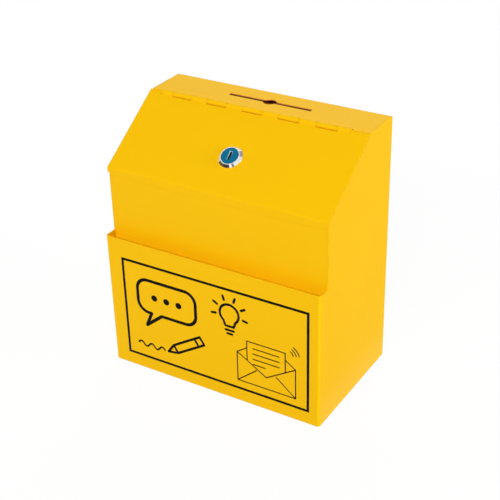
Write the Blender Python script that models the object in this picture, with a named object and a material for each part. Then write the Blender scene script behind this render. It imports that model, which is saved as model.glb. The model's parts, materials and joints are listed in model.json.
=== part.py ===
"""Folded steel suggestion box: slotted top plate, sloping hinged lid with a cam lock, card pocket in front.

Metres, +Z up, the front faces -Y, and the origin lies on the base below the middle of the box.
"""

import math

import bmesh
import bpy
from mathutils import Matrix, Vector

MM = 0.001

# Overall sizes of the folded box
BOX_WIDTH = 216 * MM
BOX_DEPTH = 127 * MM
BOX_HEIGHT = 241.5 * MM
SHEET = 1 * MM
FOLD_RADIUS = 0.6 * MM
SEAM_GAP = 0.3 * MM
OVERRUN = 20 * MM
OVERLAP = 1 * MM
MERGE_DISTANCE = 0.0003 * MM

# Card pocket across the lower front
POCKET_DEPTH = 13 * MM
POCKET_HEIGHT = 131.6 * MM
WRAP_CORNER_RADIUS = 1.6 * MM

# Top plate, its deposit slot and the screw holes of the back
TOP_PLATE_DEPTH = 43.5 * MM
SLOT_SHIFT = 1.35 * MM
SLOT_LENGTH = 82.5 * MM
SLOT_WIDTH = 4.6 * MM
SLOT_HOLE_DIAMETER = 12 * MM
SLOT_FROM_BACK = 21.5 * MM
WALL_HOLE_DIAMETER = 5.5 * MM
WALL_HOLE_FROM_SIDE = 33 * MM
WALL_HOLE_FROM_TOP = 46.5 * MM
WALL_HOLE_FROM_BASE = 35 * MM

# Lid and the edges that it closes on
LID_SLOPE = math.radians(34)
LID_OPENING = math.radians(130)
LID_OVERHANG = 0.7 * MM
LID_GAP = 0.3 * MM
LIP_HEIGHT = 7.3 * MM
LIP_CORNER_RADIUS = 3 * MM
SEAT_FLANGE_WIDTH = 12 * MM
SEAT_FLANGE_END_GAP = 5 * MM
RELIEF_WIDTH = 0.5 * MM
RELIEF_DEPTH = 0.5 * MM

# Rolled hinge
HINGE_SHIFT = -2.1 * MM
BARREL_INSET = 15 * MM
KNUCKLE_COUNT = 5
KNUCKLE_LENGTH = 19.4 * MM
END_KNUCKLE_LENGTH = 11.2 * MM
KNUCKLE_SIDE_GAP = 0.3 * MM
KNUCKLE_BACK_GAP = 0.4 * MM
KNUCKLE_FRONT_GAP = 1.1 * MM
KNUCKLE_PROUD = 1.5 * MM
KNUCKLE_OVERLAP = 2 * MM
PIN_DIAMETER = 3 * MM
PIN_CLEARANCE = 0.08 * MM
PIN_END = 0.3 * MM
LID_SWING_GAP = 0.3 * MM
CURL_END_ANGLE = math.radians(340)

# Front panel and the folded catch along its top
FOOT_FLANGE = 12 * MM
CATCH_DEPTH = 11 * MM
CATCH_CLEARANCE = 0.6 * MM

# Cam lock: bezel and threaded barrel, measured outwards from the lid's face
LOCK_FROM_LOWER_EDGE = 36.7 * MM
BEZEL_LEDGE = 1.75 * MM
BEZEL_RIM = 0.7 * MM
BEZEL_HEIGHT = 3 * MM
BEZEL_FOOT = 0.8 * MM
FACE_RECESS_DIAMETER = 16.2 * MM
FACE_RECESS_DEPTH = 2.4 * MM
LOCK_BARREL_DIAMETER = 18.5 * MM
LOCK_FLAT_DEPTH = 1.05 * MM
LOCK_BARREL_DEPTH = 17 * MM
STOP_WALL_SETBACK = 0.9 * MM
LOCK_FIT = 0.1 * MM
LOCK_GAP = 0.3 * MM
LOCK_TURN = math.radians(90)

# Nut and washer that clamp the lock in the lid
LOCK_NUT_SIDES = 6
LOCK_NUT_FLATS = 24 * MM
LOCK_NUT_THICKNESS = 4 * MM
LOCK_WASHER_DIAMETER = 25 * MM
LOCK_WASHER_THICKNESS = 0.8 * MM

# Plug, its wafers and their springs
PLUG_DIAMETER = 12 * MM
PLUG_HEAD_THICKNESS = 1 * MM
FACE_THICKNESS = 0.8 * MM
KEYWAY_WIDTH = 2.2 * MM
KEYWAY_HEIGHT = 8 * MM
KEYWAY_DEPTH = 14.6 * MM
WAFER_COUNT = 5
WAFER_PITCH = 2.5 * MM
FIRST_WAFER_DEPTH = 2.6 * MM
WAFER_SIDE_WALL = 3 * MM
WAFER_CORNER_WALL = 0.17 * MM
WAFER_THICKNESS = 0.8 * MM
WAFER_WINDOW_WIDTH = 2.8 * MM
WAFER_WINDOW_HEIGHT = 5 * MM
LUG_REACH = 1.6 * MM
LUG_BASE = 0.6 * MM
LUG_HEIGHT = 1.3 * MM
SPRING_DIAMETER = 1.6 * MM
SPRING_WIRE = 0.3 * MM
SPRING_LENGTH = 3 * MM
SPRING_TURNS = 4

# Parts behind the barrel
STUB_SIDE = 7.2 * MM
STOP_WASHER_THICKNESS = 1 * MM
STOP_TAB_REACH = 1.1 * MM
STOP_TAB_WIDTH = 4.6 * MM
CAM_THICKNESS = 1.6 * MM
CAM_GRIP = 8.4 * MM
CAM_HUB_DIAMETER = 16 * MM
CAM_TIP_WIDTH = 11 * MM
CAM_TIP_RADIUS = 3 * MM
CAM_WASHER_DIAMETER = 11 * MM
CAM_WASHER_THICKNESS = 0.8 * MM
SCREW_DIAMETER = 3.2 * MM
SCREW_LENGTH = 6 * MM
SCREW_HEAD_DIAMETER = 8.4 * MM
SCREW_HEAD_HEIGHT = 2.4 * MM
SCREW_HEAD_ROUND = 1 * MM

# Counts of facets
ROUND_SIDES = 32
SMALL_SIDES = 24
ARC_STEP = math.radians(10)
FOLD_STEPS = 4
SMOOTH_ANGLE = math.radians(35)
SPRING_POINTS_A_TURN = 8

# Places worked out from the sizes above
LEFT, RIGHT = -BOX_WIDTH / 2, BOX_WIDTH / 2
FRONT, BACK = -BOX_DEPTH / 2, BOX_DEPTH / 2
PANEL_FACE = FRONT + POCKET_DEPTH
INSIDE_HALF_WIDTH = BOX_WIDTH / 2 - SHEET - SEAM_GAP
PIN_HOLE_RADIUS = PIN_DIAMETER / 2 + PIN_CLEARANCE
KNUCKLE_RADIUS = PIN_HOLE_RADIUS + SHEET
BARREL_LENGTH = BOX_WIDTH - 2 * BARREL_INSET
END_KNUCKLE_ROOM = END_KNUCKLE_LENGTH + KNUCKLE_SIDE_GAP
KNUCKLE_SPAN = BARREL_LENGTH - 2 * END_KNUCKLE_ROOM
KNUCKLE_PITCH = (KNUCKLE_SPAN - KNUCKLE_LENGTH) / (KNUCKLE_COUNT - 1)
LEAF_RISE = KNUCKLE_RADIUS - KNUCKLE_PROUD
HINGE_Y = BACK - TOP_PLATE_DEPTH
HINGE_Z = BOX_HEIGHT - LEAF_RISE
BARREL_ROOM = BARREL_LENGTH / 2 + PIN_END + KNUCKLE_SIDE_GAP
ROOM_LEFT, ROOM_RIGHT = HINGE_SHIFT - BARREL_ROOM, HINGE_SHIFT + BARREL_ROOM
LEAF_START = KNUCKLE_RADIUS + KNUCKLE_BACK_GAP
LID_PAST_AXIS = LEAF_RISE * math.tan(LID_SLOPE / 2)
LID_CORNER_REACH = math.hypot(LEAF_RISE, LID_PAST_AXIS)
LID_CORNER_DROP = LID_CORNER_REACH * math.sin(LID_OPENING - math.pi / 2 - LID_SLOPE / 2)
PLATE_EDGE = HINGE_Y + LID_CORNER_REACH + LID_SWING_GAP
SEAT_RISE = LEAF_RISE - SHEET - LID_GAP
LIP_FACE = PANEL_FACE - LID_GAP - SHEET
LID_LOWER_EDGE = (HINGE_Y - LIP_FACE - LEAF_RISE * math.sin(LID_SLOPE)) / math.cos(LID_SLOPE)
LOCK_DISTANCE = LID_LOWER_EDGE - LOCK_FROM_LOWER_EDGE
CATCH_BACK = PANEL_FACE + CATCH_DEPTH

# Diameters of the lock's pieces that fit round or inside each other
BEZEL_DIAMETER = LOCK_BARREL_DIAMETER + 2 * BEZEL_LEDGE
BEZEL_RIM_DIAMETER = FACE_RECESS_DIAMETER + 2 * BEZEL_RIM
LOCK_BARREL_FLATS = LOCK_BARREL_DIAMETER - 2 * LOCK_FLAT_DEPTH
PLUG_HEAD_DIAMETER = FACE_RECESS_DIAMETER - 2 * LOCK_GAP
STOP_WALL_INNER_DIAMETER = PLUG_DIAMETER + 2 * STOP_WALL_SETBACK
STOP_WASHER_DIAMETER = STOP_WALL_INNER_DIAMETER - 2 * LOCK_GAP
STOP_WALL_HEIGHT = LOCK_GAP + STOP_WASHER_THICKNESS - LOCK_FIT
WAFER_WIDTH = PLUG_DIAMETER - 2 * WAFER_SIDE_WALL
WAFER_CORNER_RADIUS = PLUG_DIAMETER / 2 - WAFER_CORNER_WALL
WAFER_HEIGHT = 2 * math.sqrt(WAFER_CORNER_RADIUS**2 - (WAFER_WIDTH / 2) ** 2)

# Heights along the lock's axis, outwards from the lid's face
RECESS_FLOOR = BEZEL_HEIGHT - FACE_RECESS_DEPTH
PLUG_HEAD_BOTTOM = RECESS_FLOOR + LOCK_GAP
PLUG_HEAD_TOP = PLUG_HEAD_BOTTOM + PLUG_HEAD_THICKNESS
FACE_BOTTOM = PLUG_HEAD_TOP + LOCK_GAP
FACE_TOP = FACE_BOTTOM + FACE_THICKNESS
BARREL_REAR = -LOCK_BARREL_DEPTH
STOP_WASHER_TOP = BARREL_REAR - LOCK_GAP
CAM_TOP = STOP_WASHER_TOP - STOP_WASHER_THICKNESS - LOCK_GAP
CAM_BOTTOM = CAM_TOP - CAM_THICKNESS
STUB_END = CAM_BOTTOM + LOCK_GAP
CAM_WASHER_TOP = CAM_BOTTOM - LOCK_GAP
SCREW_HEAD_TOP = CAM_WASHER_TOP - CAM_WASHER_THICKNESS - LOCK_GAP
SCREW_TIP = SCREW_HEAD_TOP + SCREW_LENGTH

# The cam's plane meets the back of the catch this far down the slope, and the cam's tip passes it
CAM_RISE = LEAF_RISE + CAM_TOP
CATCH_DISTANCE = (HINGE_Y - CATCH_BACK - CAM_RISE * math.sin(LID_SLOPE)) / math.cos(LID_SLOPE)
CAM_LENGTH = CATCH_DISTANCE - LOCK_DISTANCE + CAM_GRIP


def clear_scene():
    for old in list(bpy.data.objects):
        bpy.data.objects.remove(old)


def linear(channel):
    """One sRGB channel, 0 to 255, as the linear value that a shader takes."""
    share = channel / 255
    if share <= 0.04045:
        return share / 12.92
    return ((share + 0.055) / 1.055) ** 2.4


def make_material(name, srgb, roughness, metallic):
    material = bpy.data.materials.new(name)
    material.use_nodes = True
    shader = material.node_tree.nodes["Principled BSDF"]
    colour = [linear(channel) for channel in srgb]
    shader.inputs["Base Color"].default_value = (*colour, 1)
    shader.inputs["Roughness"].default_value = roughness
    shader.inputs["Metallic"].default_value = metallic
    material.diffuse_color = (*colour, 1)
    return material


def place(name, mesh, parent=None, material=None):
    """A new object holding this mesh, at its parent's axes or at the world's."""
    node = bpy.data.objects.new(name, mesh)
    bpy.context.collection.objects.link(node)
    node.parent = parent
    if material:
        mesh.materials.append(material)
    return node


def empty(name, location, tilt=0, parent=None):
    node = bpy.data.objects.new(name, None)
    bpy.context.collection.objects.link(node)
    node.parent = parent
    node.location = location
    node.rotation_euler = (tilt, 0, 0)
    return node


def mesh_from(shape, name):
    bmesh.ops.recalc_face_normals(shape, faces=shape.faces)
    mesh = bpy.data.meshes.new(name)
    shape.to_mesh(mesh)
    shape.free()
    return mesh


def prism(outline, axis, start, end):
    """A mesh of an outline pushed from start to end along X, Y or Z."""
    lift = {
        "X": lambda a, b, along: Vector((along, a, b)),
        "Y": lambda a, b, along: Vector((a, along, b)),
        "Z": lambda a, b, along: Vector((a, b, along)),
    }[axis]
    shape = bmesh.new()
    corners = [shape.verts.new(lift(a, b, start)) for a, b in outline]
    face = shape.faces.new(corners)
    grown = bmesh.ops.extrude_face_region(shape, geom=[face])
    moved = [item for item in grown["geom"] if isinstance(item, bmesh.types.BMVert)]
    bmesh.ops.translate(shape, verts=moved, vec=lift(0, 0, end - start))
    return mesh_from(shape, "prism")


def box(low, high):
    outline = [(low[0], low[1]), (high[0], low[1]), (high[0], high[1]), (low[0], high[1])]
    return prism(outline, "Z", low[2], high[2])


def arc(centre, radius, start, end, step=ARC_STEP):
    """Points along an arc, its two ends included."""
    count = max(1, round(abs(end - start) / step))
    turns = [start + (end - start) * i / count for i in range(count + 1)]
    return [(centre[0] + radius * math.cos(t), centre[1] + radius * math.sin(t)) for t in turns]


def circle(radius, sides=ROUND_SIDES, centre=(0, 0)):
    turns = [2 * math.pi * i / sides for i in range(sides)]
    return [(centre[0] + radius * math.cos(t), centre[1] + radius * math.sin(t)) for t in turns]


def turned(profile, sides=ROUND_SIDES):
    """A mesh of a closed profile of (radius, height) points spun about Z."""
    shape = bmesh.new()
    corners = [shape.verts.new((radius, 0, height)) for radius, height in profile]
    loop = [shape.edges.new(pair) for pair in zip(corners, corners[1:] + corners[:1])]
    bmesh.ops.spin(
        shape,
        geom=corners + loop,
        cent=(0, 0, 0),
        axis=(0, 0, 1),
        angle=2 * math.pi,
        steps=sides,
        use_merge=True,
    )
    bmesh.ops.remove_doubles(shape, verts=shape.verts, dist=MERGE_DISTANCE)
    return mesh_from(shape, "turned")


def smooth(node):
    node.data.shade_smooth()
    node.data.set_sharp_from_angle(angle=SMOOTH_ANGLE)


def combine(node, mesh, operation):
    """Joins another mesh to the node, cuts it away, or keeps only what they share."""
    other = bpy.data.objects.new("tool", mesh)
    bpy.context.collection.objects.link(other)
    other.parent = node.parent
    other.hide_render = True
    modifier = node.modifiers.new("Boolean", "BOOLEAN")
    modifier.operation = operation
    modifier.solver = "EXACT"
    modifier.object = other
    graph = bpy.context.evaluated_depsgraph_get()
    result = bpy.data.meshes.new_from_object(node.evaluated_get(graph))
    node.modifiers.remove(modifier)
    node.data = result
    bpy.data.objects.remove(other)


def join(node, mesh):
    combine(node, mesh, "UNION")


def cut(node, mesh):
    combine(node, mesh, "DIFFERENCE")


def sheet_outline(corners, side, radius=FOLD_RADIUS):
    """The outline of a folded sheet, from the corner points of one of its faces.

    side is 1 where the metal lies left of that face's path and -1 where it lies right.
    Every fold turns to that side.
    """
    points = [Vector(corner) for corner in corners]
    ways = [(b - a).normalized() for a, b in zip(points, points[1:])]
    left = [Vector((-way.y, way.x)) for way in ways]
    outer = [tuple(points[0])]
    inner = [tuple(points[0] + left[0] * side * SHEET)]
    for corner, before, after, normal in zip(points[1:], ways, ways[1:], left):
        turn = before.angle_signed(after)
        reach = (radius + SHEET) * math.tan(abs(turn) / 2)
        centre = corner - before * reach + normal * side * (radius + SHEET)
        start = math.atan2(*(-side * normal).yx)
        end = start + side * abs(turn)
        outer += arc(centre, radius + SHEET, start, end)
        inner += arc(centre, radius, start, end)
    outer.append(tuple(points[-1]))
    inner.append(tuple(points[-1] + left[-1] * side * SHEET))
    return outer + inner[::-1]


def on_lid(distance, rise):
    """World (y, z) of a point this far down the slope from the hinge axis, and this far above it."""
    y = HINGE_Y - distance * math.cos(LID_SLOPE) - rise * math.sin(LID_SLOPE)
    z = HINGE_Z - distance * math.sin(LID_SLOPE) + rise * math.cos(LID_SLOPE)
    return y, z


def height_on_lid(y, rise):
    """World height at this y of the plane parallel to the lid, this far above the hinge axis."""
    return HINGE_Z + rise / math.cos(LID_SLOPE) + (y - HINGE_Y) * math.tan(LID_SLOPE)


def knuckle_places():
    """(start, end) along X of each knuckle of the top plate."""
    first = HINGE_SHIFT - KNUCKLE_PITCH * (KNUCKLE_COUNT - 1) / 2
    middles = [first + KNUCKLE_PITCH * i for i in range(KNUCKLE_COUNT)]
    return [(middle - KNUCKLE_LENGTH / 2, middle + KNUCKLE_LENGTH / 2) for middle in middles]


def lid_knuckle_places():
    """(start, end) along X of each knuckle of the lid, between and outside those of the top plate."""
    taken = knuckle_places()
    starts = [HINGE_SHIFT - BARREL_LENGTH / 2] + [end + KNUCKLE_SIDE_GAP for _, end in taken]
    ends = [start - KNUCKLE_SIDE_GAP for start, _ in taken] + [HINGE_SHIFT + BARREL_LENGTH / 2]
    return list(zip(starts, ends))


def eye_outline():
    """A knuckle rolled from its leaf's own sheet, as (distance from the axis along the leaf, rise)."""
    outer_start = math.asin(LEAF_RISE / KNUCKLE_RADIUS)
    inner_start = math.asin((LEAF_RISE - SHEET) / PIN_HOLE_RADIUS)
    tail = LEAF_START + KNUCKLE_OVERLAP
    outer = arc((0, 0), KNUCKLE_RADIUS, outer_start, CURL_END_ANGLE)
    inner = arc((0, 0), PIN_HOLE_RADIUS, CURL_END_ANGLE, inner_start)
    return [(tail, LEAF_RISE)] + outer + inner + [(tail, LEAF_RISE - SHEET)]


def fold_flange(shape, face, line_point, line_way, angle, run):
    """Folds a narrow face of the sheet about a line, and runs it on along its new normal."""
    turn = Matrix.Rotation(angle / FOLD_STEPS, 3, line_way)
    for _ in range(FOLD_STEPS):
        face, moved = extrude_face(shape, face)
        bmesh.ops.rotate(shape, verts=moved, cent=line_point, matrix=turn)
    face, moved = extrude_face(shape, face)
    bmesh.ops.translate(shape, verts=moved, vec=run)


def extrude_face(shape, face):
    """Extrudes a face of a solid. Returns the new end face and its points, and leaves nothing inside."""
    grown = bmesh.ops.extrude_face_region(shape, geom=[face])["geom"]
    bmesh.ops.delete(shape, geom=[face], context="FACES_ONLY")
    end = next(item for item in grown if isinstance(item, bmesh.types.BMFace))
    return end, [item for item in grown if isinstance(item, bmesh.types.BMVert)]


def make_outer_wrap(paint):
    """Pocket front and side walls in one bent sheet, with the two seat flanges that the lid closes on."""
    corners = [(LEFT, BACK), (LEFT, FRONT), (RIGHT, FRONT), (RIGHT, BACK)]
    plan = sheet_outline(corners, 1, WRAP_CORNER_RADIUS)
    node = place("outer_wrap", prism(plan, "Z", 0, BOX_HEIGHT))
    drop = FOLD_RADIUS + SHEET
    seat_low = (HINGE_Y - CATCH_BACK - SEAM_GAP) / math.cos(LID_SLOPE) - SEAT_FLANGE_END_GAP
    seat_high = SEAT_FLANGE_END_GAP
    swing_start = HINGE_Y - LID_SWING_GAP
    swing_floor = HINGE_Z - LID_CORNER_DROP - LID_SWING_GAP
    fold_line = SEAT_RISE - drop
    notch = fold_line - RELIEF_DEPTH
    skyline = [
        (FRONT - OVERRUN, POCKET_HEIGHT),
        (PANEL_FACE, POCKET_HEIGHT),
        (PANEL_FACE, height_on_lid(PANEL_FACE, SEAT_RISE)),
        on_lid(seat_low, SEAT_RISE),
        on_lid(seat_low, notch),
        on_lid(seat_low - RELIEF_WIDTH, notch),
        on_lid(seat_low - RELIEF_WIDTH, fold_line),
        on_lid(seat_high + RELIEF_WIDTH, fold_line),
        on_lid(seat_high + RELIEF_WIDTH, notch),
        on_lid(seat_high, notch),
        on_lid(seat_high, SEAT_RISE),
        (swing_start, height_on_lid(swing_start, SEAT_RISE)),
        (swing_start, swing_floor),
        (PLATE_EDGE, swing_floor),
        (PLATE_EDGE, BOX_HEIGHT + OVERRUN),
        (FRONT - OVERRUN, BOX_HEIGHT + OVERRUN),
    ]
    cut(node, prism(skyline, "X", LEFT - OVERRUN, RIGHT + OVERRUN))
    for clip in (back_corner_clip(BOX_HEIGHT, 1), back_corner_clip(0, -1)):
        cut(node, prism(clip, "X", LEFT - OVERRUN, RIGHT + OVERRUN))
    fold_seat_flanges(node, on_lid((seat_low + seat_high) / 2, fold_line))
    node.data.materials.append(paint)
    smooth(node)
    return node


def back_corner_clip(height, side):
    """What comes off a side wall's back corner, so that it follows the fold of the sheet beside it.

    side is 1 for the top corner and -1 for the bottom one.
    """
    radius = FOLD_RADIUS + SHEET
    centre = (BACK - radius, height - side * radius)
    rim = arc(centre, radius, side * math.pi / 2, 0)
    far_y, far_z = BACK + OVERRUN, height + side * OVERRUN
    return rim + [(far_y, centre[1]), (far_y, far_z), (centre[0], far_z)]


def fold_seat_flanges(node, middle):
    """Folds the sloping edge of each side wall inwards under the lid, between its two bend reliefs."""
    slope_way = Vector((0, math.cos(LID_SLOPE), math.sin(LID_SLOPE)))
    shape = bmesh.new()
    shape.from_mesh(node.data)
    for side in (-1, 1):
        edge = Vector((side * (BOX_WIDTH - SHEET) / 2, *middle))
        face = min(shape.faces, key=lambda one: (one.calc_center_median() - edge).length)
        line = Vector((side * (BOX_WIDTH / 2 - SHEET - FOLD_RADIUS), *middle))
        run = Vector((-side * (SEAT_FLANGE_WIDTH - SHEET - FOLD_RADIUS), 0, 0))
        fold_flange(shape, face, line, slope_way, -side * math.pi / 2, run)
    node.data = mesh_from(shape, "outer_wrap")


def inside_plan():
    """The plan inside the wrap, less the seam: square at the back, round at the front corners."""
    radius = WRAP_CORNER_RADIUS - SEAM_GAP
    front = FRONT + SHEET + SEAM_GAP
    left_centre = (-INSIDE_HALF_WIDTH + radius, front + radius)
    right_centre = (INSIDE_HALF_WIDTH - radius, front + radius)
    left = arc(left_centre, radius, math.pi, 1.5 * math.pi)
    right = arc(right_centre, radius, -0.5 * math.pi, 0)
    return left + right + [(INSIDE_HALF_WIDTH, BACK), (-INSIDE_HALF_WIDTH, BACK)]


def make_back_shell(paint):
    """Top plate, back and bottom in one folded sheet, with knuckles, the slot and the screw holes."""
    path = [(PLATE_EDGE, BOX_HEIGHT), (BACK, BOX_HEIGHT), (BACK, 0), (FRONT + SHEET + SEAM_GAP, 0)]
    node = place("back_shell", prism(sheet_outline(path, -1), "X", -INSIDE_HALF_WIDTH, INSIDE_HALF_WIDTH))
    combine(node, prism(inside_plan(), "Z", -OVERRUN, BOX_HEIGHT + OVERRUN), "INTERSECT")
    under, over = BOX_HEIGHT - OVERRUN, BOX_HEIGHT + OVERRUN
    cut(node, box((ROOM_LEFT, HINGE_Y - OVERRUN, under), (ROOM_RIGHT, HINGE_Y + LEAF_START, over)))
    eye = [(HINGE_Y + away, HINGE_Z + rise) for away, rise in eye_outline()]
    for start, end in knuckle_places():
        join(node, prism(eye, "X", start, end))
    slot_y = BACK - SLOT_FROM_BACK
    half_length, half_width = SLOT_LENGTH / 2, SLOT_WIDTH / 2
    slot_left, slot_right = SLOT_SHIFT - half_length, SLOT_SHIFT + half_length
    cut(node, box((slot_left, slot_y - half_width, under), (slot_right, slot_y + half_width, over)))
    cut(node, prism(circle(SLOT_HOLE_DIAMETER / 2, centre=(SLOT_SHIFT, slot_y)), "Z", under, over))
    for across in (LEFT + WALL_HOLE_FROM_SIDE, RIGHT - WALL_HOLE_FROM_SIDE):
        for up in (WALL_HOLE_FROM_BASE, BOX_HEIGHT - WALL_HOLE_FROM_TOP):
            hole = circle(WALL_HOLE_DIAMETER / 2, SMALL_SIDES, (across, up))
            cut(node, prism(hole, "Y", BACK - OVERRUN, BACK + OVERRUN))
    node.data.materials.append(paint)
    smooth(node)
    return node


def make_front_panel(paint):
    """The wall behind the card pocket. Its top edge is folded over twice, into a catch for the cam."""
    top = height_on_lid(PANEL_FACE, SEAT_RISE)
    foot = SHEET + SEAM_GAP
    cam_plane = height_on_lid(CATCH_BACK, CAM_RISE)
    path = [
        (PANEL_FACE + FOOT_FLANGE, foot),
        (PANEL_FACE, foot),
        (PANEL_FACE, top),
        (CATCH_BACK, top),
        (CATCH_BACK, cam_plane + CATCH_CLEARANCE),
    ]
    mesh = prism(sheet_outline(path, -1), "X", -INSIDE_HALF_WIDTH, INSIDE_HALF_WIDTH)
    node = place("front_panel", mesh, material=paint)
    smooth(node)
    return node


def make_hinge_pin(steel):
    half = BARREL_LENGTH / 2 + PIN_END
    radius = PIN_DIAMETER / 2
    chamfer = PIN_END / 2
    profile = [(0, half), (radius - chamfer, half), (radius, half - chamfer)]
    profile += [(radius, chamfer - half), (radius - chamfer, -half), (0, -half)]
    node = place("hinge_pin", turned(profile, SMALL_SIDES), material=steel)
    node.location = (HINGE_SHIFT, HINGE_Y, HINGE_Z)
    node.rotation_euler = (0, math.pi / 2, 0)
    smooth(node)
    return node


def lock_hole_outline(clearance):
    """The round barrel with its two flats, as an outline in the lid's plane."""
    radius = LOCK_BARREL_DIAMETER / 2 + clearance
    flat = LOCK_BARREL_FLATS / 2 + clearance
    reach = math.acos(flat / radius)
    top = arc((0, 0), radius, reach, math.pi - reach)
    bottom = arc((0, 0), radius, math.pi + reach, 2 * math.pi - reach)
    return top + bottom


def make_lid(hinge, paint):
    """Sloping panel with its front lip and knuckles, in the hinge's axes: Y runs up the slope."""
    lip_way = Vector((-math.sin(LID_SLOPE), -math.cos(LID_SLOPE)))
    lower_edge = Vector((-LID_LOWER_EDGE, LEAF_RISE))
    lip_end = lower_edge + lip_way * LIP_HEIGHT
    inward = Vector((-lip_way.y, lip_way.x))
    outline = sheet_outline([(LID_PAST_AXIS, LEAF_RISE), lower_edge, lip_end], 1)
    half = BOX_WIDTH / 2 + LID_OVERHANG
    mesh = prism(outline, "X", -half, half)
    round_lip_corners(mesh, half, lip_end + inward * SHEET / 2)
    node = place("lid", mesh, hinge)
    cut(node, box((ROOM_LEFT, -LEAF_START, -OVERRUN), (ROOM_RIGHT, OVERRUN, OVERRUN)))
    for start, end in knuckle_places():
        low = (start - KNUCKLE_SIDE_GAP, -KNUCKLE_RADIUS - KNUCKLE_FRONT_GAP, -OVERRUN)
        cut(node, box(low, (end + KNUCKLE_SIDE_GAP, OVERRUN, OVERRUN)))
    eye = [(-away, rise) for away, rise in eye_outline()]
    for start, end in lid_knuckle_places():
        join(node, prism(eye, "X", start, end))
    hole = [(x, y - LOCK_DISTANCE) for x, y in lock_hole_outline(LOCK_GAP)]
    cut(node, prism(hole, "Z", -OVERRUN, OVERRUN))
    node.data.materials.append(paint)
    smooth(node)
    return node


def edge_middle(edge):
    return (edge.verts[0].co + edge.verts[1].co) / 2


def round_lip_corners(mesh, half, lip_middle):
    """Rounds the two lower corners of the lip: the short edges at the ends of its free edge."""
    shape = bmesh.new()
    shape.from_mesh(mesh)
    corners = []
    for side in (-half, half):
        spot = Vector((side, *lip_middle))
        corners.append(min(shape.edges, key=lambda edge: (edge_middle(edge) - spot).length))
    bmesh.ops.bevel(shape, geom=corners, offset=LIP_CORNER_RADIUS, segments=FOLD_STEPS, affect="EDGES")
    bmesh.ops.recalc_face_normals(shape, faces=shape.faces)
    shape.to_mesh(mesh)
    shape.free()


def make_lock_housing(axis, chrome):
    """Bezel and barrel turned in one piece, then flatted, with the stop wall standing on its rear end."""
    foot = LOCK_GAP
    bore = PLUG_DIAMETER / 2 + LOCK_FIT
    barrel = LOCK_BARREL_DIAMETER / 2
    recess = FACE_RECESS_DIAMETER / 2
    profile = [
        (recess, BEZEL_HEIGHT),
        (BEZEL_RIM_DIAMETER / 2, BEZEL_HEIGHT),
        (BEZEL_DIAMETER / 2, foot + BEZEL_FOOT),
        (BEZEL_DIAMETER / 2, foot),
        (barrel, foot),
        (barrel, BARREL_REAR - STOP_WALL_HEIGHT),
        (STOP_WALL_INNER_DIAMETER / 2, BARREL_REAR - STOP_WALL_HEIGHT),
        (STOP_WALL_INNER_DIAMETER / 2, BARREL_REAR),
        (bore, BARREL_REAR),
        (bore, RECESS_FLOOR),
        (recess, RECESS_FLOOR),
    ]
    node = place("lock_housing", turned(profile), axis)
    for side in (-1, 1):
        near, far = sorted((side * LOCK_BARREL_FLATS / 2, side * LOCK_BARREL_DIAMETER))
        low = (near, -LOCK_BARREL_DIAMETER, BARREL_REAR - OVERRUN)
        cut(node, box(low, (far, LOCK_BARREL_DIAMETER, foot)))
    cut(node, prism(stop_window(), "Z", BARREL_REAR - OVERRUN, BARREL_REAR))
    node.data.materials.append(chrome)
    smooth(node)
    return node


def stop_window():
    """The sector left free in the stop wall: the tab's quarter turn, its width and a gap at each end."""
    half_tab = math.asin((STOP_TAB_WIDTH / 2 + LOCK_GAP) / (STOP_WALL_INNER_DIAMETER / 2))
    reach = LOCK_BARREL_DIAMETER
    rim = arc((0, 0), reach, -LOCK_TURN - half_tab, half_tab)
    return [(0, 0)] + rim


def make_lock_washer(axis, steel):
    inner = LOCK_BARREL_DIAMETER / 2 + LOCK_GAP
    outer = LOCK_WASHER_DIAMETER / 2
    top = -SHEET - LOCK_GAP
    bottom = top - LOCK_WASHER_THICKNESS
    mesh = turned([(inner, top), (outer, top), (outer, bottom), (inner, bottom)])
    node = place("lock_washer", mesh, axis, steel)
    smooth(node)
    return node


def make_lock_nut(axis, steel):
    top = -SHEET - LOCK_GAP - LOCK_WASHER_THICKNESS - LOCK_GAP
    bottom = top - LOCK_NUT_THICKNESS
    across_corners = LOCK_NUT_FLATS / math.cos(math.pi / LOCK_NUT_SIDES)
    hexagon = circle(across_corners / 2, LOCK_NUT_SIDES)
    node = place("lock_nut", prism(hexagon, "Z", bottom, top), axis)
    bore = LOCK_BARREL_DIAMETER / 2 + LOCK_GAP
    cut(node, prism(circle(bore), "Z", bottom - OVERRUN, top + OVERRUN))
    node.data.materials.append(steel)
    smooth(node)
    return node


def wafer_middles():
    """(height along the lock's axis, side of the lug) of each wafer. The lugs alternate left and right."""
    return [(-FIRST_WAFER_DEPTH - WAFER_PITCH * i, 1 - 2 * (i % 2)) for i in range(WAFER_COUNT)]


def spring_centre():
    """How far to the side of the keyway a wafer's spring stands, under the middle of its lug."""
    return WAFER_WIDTH / 2 + LUG_REACH / 2


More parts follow.
